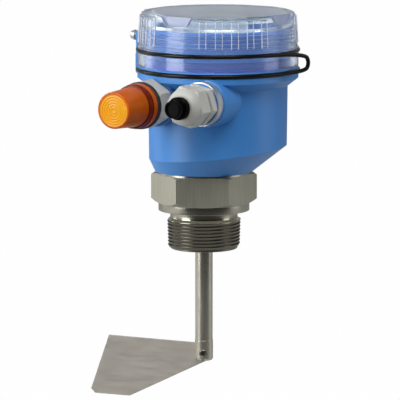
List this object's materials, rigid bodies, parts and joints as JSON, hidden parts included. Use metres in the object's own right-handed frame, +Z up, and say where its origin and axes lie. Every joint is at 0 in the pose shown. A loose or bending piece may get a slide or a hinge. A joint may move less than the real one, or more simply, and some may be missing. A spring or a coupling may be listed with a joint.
{
  "type": "rotary paddle level switch",
  "caption": "Paddle level switch: hexagonal pipe connection, driven shaft with folding paddle, offset blue housing with cable gland, signal lamp and clear screw cover on a cord.",
  "frame": {"origin": "on the paddle shaft's axis, in the plane of the collar's sealing face above the pipe thread", "axes": "+Z up the shaft into the housing, +X towards the side to which the housing is offset, -Y towards the cable entries"},
  "size_m": [0.1432, 0.1421, 0.2553],
  "materials": {
    "connection_steel": "turned stainless steel",
    "shaft_steel": "drawn stainless steel",
    "paddle_steel": "rolled stainless sheet",
    "bearing_steel": "ground steel",
    "seal_rubber": "matt rubber",
    "housing_blue": "satin moulded plastic",
    "cover_clear": "clear polycarbonate",
    "cord_rubber": "smooth rubber",
    "bright_metal": "bright plated steel",
    "gland_plastic": "light grey nylon",
    "plug_black": "black plastic",
    "lamp_plastic": "grey nylon",
    "lens_amber": "translucent amber",
    "board_green": "lacquered board",
    "led_clear": "tinted epoxy",
    "chassis_plastic": "pale grey plastic",
    "drive_metal": "drawn metal",
    "gear_plastic": "natural acetal",
    "coupling_brass": "machined brass"
  },
  "bodies": {
    "housing": {"process_connection": "connection_steel", "lower_bearing": "bearing_steel", "upper_bearing": "bearing_steel", "shaft_seal": "seal_rubber", "housing_shell": "housing_blue", "neck_seal": "seal_rubber", "neck_nut": "bearing_steel", "cover_gasket": "seal_rubber", "cover_cord_lower": "cord_rubber", "cover_cord_loop": "cord_rubber", "entry_ring": "bright_metal", "gland_body": "gland_plastic", "lamp_body": "lamp_plastic", "lamp_gasket": "plug_black", "lamp_board": "board_green", "lamp_leds": "led_clear", "chassis_plate": "chassis_plastic", "microswitches": "plug_black", "board_standoffs": "bright_metal", "circuit_board": "board_green", "board_screws": "bright_metal", "power_terminals": "chassis_plastic", "terminal_screws": "bright_metal", "signal_terminals": "board_green", "relay": "chassis_plastic", "status_led": "led_clear"},
    "shaft": {"output_shaft": "shaft_steel", "shaft_circlip": "bearing_steel", "thrust_ring": "bearing_steel", "paddle_fork": "shaft_steel", "paddle_pin": "shaft_steel", "shaft_coupling": "coupling_brass", "gearbox_output": "coupling_brass"},
    "paddle": {"paddle_blade": "paddle_steel"},
    "drive_unit": {"motor_carrier": "drive_metal", "gearbox": "gear_plastic", "motor_can": "drive_metal", "return_spring": "bright_metal"},
    "cord_carrier": {"cover_cord_upper": "cord_rubber"},
    "cover": {"cover": "cover_clear"},
    "lock_carrier": {"lock_washer": "bright_metal"},
    "lock_screw": {"lock_screw": "bright_metal"},
    "seal_carrier": {"gland_insert": "seal_rubber"},
    "gland_nut": {"gland_cap_nut": "gland_plastic"},
    "plug": {"gland_plug": "plug_black"},
    "lens": {"lamp_lens": "lens_amber"}
  },
  "joints": [
    {"name": "shaft_spin", "type": "hinge", "parent": "housing", "child": "shaft", "pos_m": [0, 0, 0], "axis": [0, 0, 1], "continuous": true},
    {"name": "paddle_fold", "type": "hinge", "parent": "shaft", "child": "paddle", "pos_m": [0, 0, -0.0946], "axis": [-0.1219, -0.9925, 0], "range_deg": [0, 85]},
    {"name": "motor_swing", "type": "hinge", "parent": "housing", "child": "drive_unit", "pos_m": [0, 0, 0.066], "axis": [0, 0, 1], "range_deg": [0, 9], "stiffness_Nm_per_rad": 0.5, "springref_deg": -11.46, "deforming": ["return_spring"]},
    {"name": "cover_lift", "type": "slide", "parent": "housing", "child": "cord_carrier", "axis": [0, 0, 1], "range_m": [0, 0.0101], "deforming": ["cover_cord_loop"]},
    {"name": "cover_turn", "type": "hinge", "parent": "cord_carrier", "child": "cover", "pos_m": [0.0091, 0, 0.095], "axis": [0, 0, 1], "range_deg": [0, 1440]},
    {"name": "lock_feed", "type": "slide", "parent": "housing", "child": "lock_carrier", "axis": [-0.9205, 0.3907, 0], "range_m": [-0.0019, 0.0028]},
    {"name": "lock_turn", "type": "hinge", "parent": "lock_carrier", "child": "lock_screw", "pos_m": [-0.043, 0.02211, 0.1126], "axis": [-0.9205, 0.3907, 0], "range_deg": [-990, 1450]},
    {"name": "gland_feed", "type": "slide", "parent": "housing", "child": "seal_carrier", "axis": [-0.512, -0.859, 0], "range_m": [0, 0.009]},
    {"name": "gland_turn", "type": "hinge", "parent": "seal_carrier", "child": "gland_nut", "pos_m": [0.00026, -0.05154, 0.0758], "axis": [-0.512, -0.859, 0], "range_deg": [0, 2170]},
    {"name": "plug_pull", "type": "slide", "parent": "seal_carrier", "child": "plug", "axis": [-0.512, -0.859, 0], "range_m": [0, 0.014]},
    {"name": "lens_turn", "type": "hinge", "parent": "housing", "child": "lens", "pos_m": [-0.03204, -0.03229, 0.074], "axis": [-0.512, -0.859, 0], "range_deg": [0, 30]}
  ],
  "couplings": [
    {"joint": "cover_lift", "follows": "cover_turn", "m_per_rad": 0.00039789},
    {"joint": "lock_turn", "follows": "lock_feed", "rad_per_m": 8976},
    {"joint": "gland_turn", "follows": "gland_feed", "rad_per_m": 4188.8}
  ]
}
